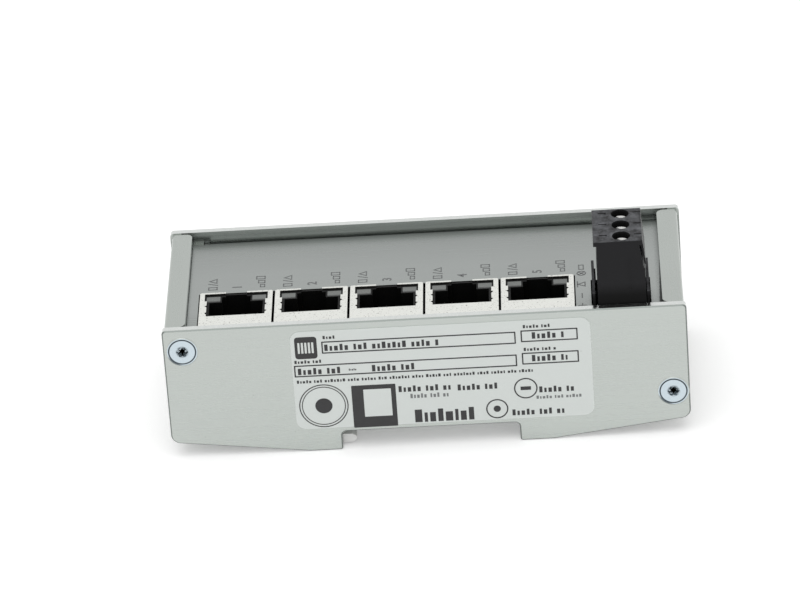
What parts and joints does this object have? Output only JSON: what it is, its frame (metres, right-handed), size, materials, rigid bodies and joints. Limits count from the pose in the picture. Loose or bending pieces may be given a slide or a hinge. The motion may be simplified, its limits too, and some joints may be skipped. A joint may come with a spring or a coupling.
{
  "type": "din rail ethernet switch",
  "caption": "Flat sheet metal network switch for a 35 mm mounting rail, with a row of upward modular ports, a raised pull-off screw terminal and a sprung rail latch.",
  "frame": {"origin": "middle of the case between the side panels and between the ends, at the level of the feet beside the rail", "axes": "+X runs along the row of ports from port 1 to the supply terminal, -Y is the side panel with the label, +Z is the way the ports face"},
  "size_m": [0.115, 0.05, 0.0477],
  "materials": {
    "panel_paint": "satin powder coat",
    "plate_paint": "satin powder coat",
    "label_film": "matt film",
    "zinc_screw": "bright zinc",
    "hook_plastic": "moulded",
    "guide_steel": "zinc plated",
    "spring_steel": "plain",
    "rivet_steel": "plain",
    "board_green": "solder resist",
    "post_brass": "turned",
    "board_screw": "zinc plated",
    "part_black": "moulded",
    "ferrite_grey": "sintered",
    "can_metal": "drawn can",
    "shield_tin": "tin plated",
    "insert_black": "moulded",
    "lamp_lens": "translucent",
    "contact_gold": "gold plated",
    "terminal_plastic": "moulded",
    "pin_tin": "tin plated",
    "terminal_steel": "zinc plated"
  },
  "bodies": {
    "switch": {"side_panel_label": "panel_paint", "side_panel_back": "panel_paint", "housing_frame": "panel_paint", "port_plate": "plate_paint", "label_foil": "label_film", "case_screws": "zinc_screw", "din_hook": "hook_plastic", "din_guide": "guide_steel", "latch_spring": "spring_steel", "clip_rivets": "rivet_steel", "main_board": "board_green", "board_posts": "post_brass", "board_screws": "board_screw", "port_transformers": "part_black", "power_inductor": "ferrite_grey", "clock_crystal": "can_metal", "switch_chip": "part_black", "converter_chip": "part_black", "supply_capacitors": "can_metal", "power_header": "terminal_plastic", "header_pins": "pin_tin", "jack_1_shield": "shield_tin", "jack_1_insert": "insert_black", "jack_1_lamps": "lamp_lens", "jack_1_contacts": "contact_gold", "jack_2_shield": "shield_tin", "jack_2_insert": "insert_black", "jack_2_lamps": "lamp_lens", "jack_2_contacts": "contact_gold", "jack_3_shield": "shield_tin", "jack_3_insert": "insert_black", "jack_3_lamps": "lamp_lens", "jack_3_contacts": "contact_gold", "jack_4_shield": "shield_tin", "jack_4_insert": "insert_black", "jack_4_lamps": "lamp_lens", "jack_4_contacts": "contact_gold", "jack_5_shield": "shield_tin", "jack_5_insert": "insert_black", "jack_5_lamps": "lamp_lens", "jack_5_contacts": "contact_gold"},
    "latch": {"din_latch": "hook_plastic"},
    "plug": {"terminal_plug": "terminal_plastic", "plug_contacts": "pin_tin"},
    "terminal_screw_1": {"terminal_screw_1": "terminal_steel"},
    "wire_clamp_1": {"wire_clamp_1": "terminal_steel"},
    "terminal_screw_2": {"terminal_screw_2": "terminal_steel"},
    "wire_clamp_2": {"wire_clamp_2": "terminal_steel"},
    "terminal_screw_3": {"terminal_screw_3": "terminal_steel"},
    "wire_clamp_3": {"wire_clamp_3": "terminal_steel"}
  },
  "joints": [
    {"name": "latch_slide", "type": "slide", "parent": "switch", "child": "latch", "axis": [1, 0, 0], "range_m": [0, 0.003], "stiffness_N_per_m": 300, "springref_m": -0.004, "deforming": ["latch_spring"]},
    {"name": "plug_pull", "type": "slide", "parent": "switch", "child": "plug", "axis": [0, 0, 1], "range_m": [0, 0.012]},
    {"name": "wire_clamp_1_lift", "type": "slide", "parent": "plug", "child": "wire_clamp_1", "axis": [0, 0, 1], "range_m": [0, 0.0022]},
    {"name": "terminal_screw_1_turn", "type": "hinge", "parent": "plug", "child": "terminal_screw_1", "pos_m": [0.04405, -0.01894, 0.0457], "axis": [0, 0, -1], "range_deg": [0, 1584]},
    {"name": "wire_clamp_2_lift", "type": "slide", "parent": "plug", "child": "wire_clamp_2", "axis": [0, 0, 1], "range_m": [0, 0.0022]},
    {"name": "terminal_screw_2_turn", "type": "hinge", "parent": "plug", "child": "terminal_screw_2", "pos_m": [0.04405, -0.01386, 0.0457], "axis": [0, 0, -1], "range_deg": [0, 1584]},
    {"name": "wire_clamp_3_lift", "type": "slide", "parent": "plug", "child": "wire_clamp_3", "axis": [0, 0, 1], "range_m": [0, 0.0022]},
    {"name": "terminal_screw_3_turn", "type": "hinge", "parent": "plug", "child": "terminal_screw_3", "pos_m": [0.04405, -0.00878, 0.0457], "axis": [0, 0, -1], "range_deg": [0, 1584]}
  ],
  "couplings": [
    {"joint": "terminal_screw_1_turn", "follows": "wire_clamp_1_lift", "rad_per_m": 12566},
    {"joint": "terminal_screw_2_turn", "follows": "wire_clamp_2_lift", "rad_per_m": 12566},
    {"joint": "terminal_screw_3_turn", "follows": "wire_clamp_3_lift", "rad_per_m": 12566}
  ]
}
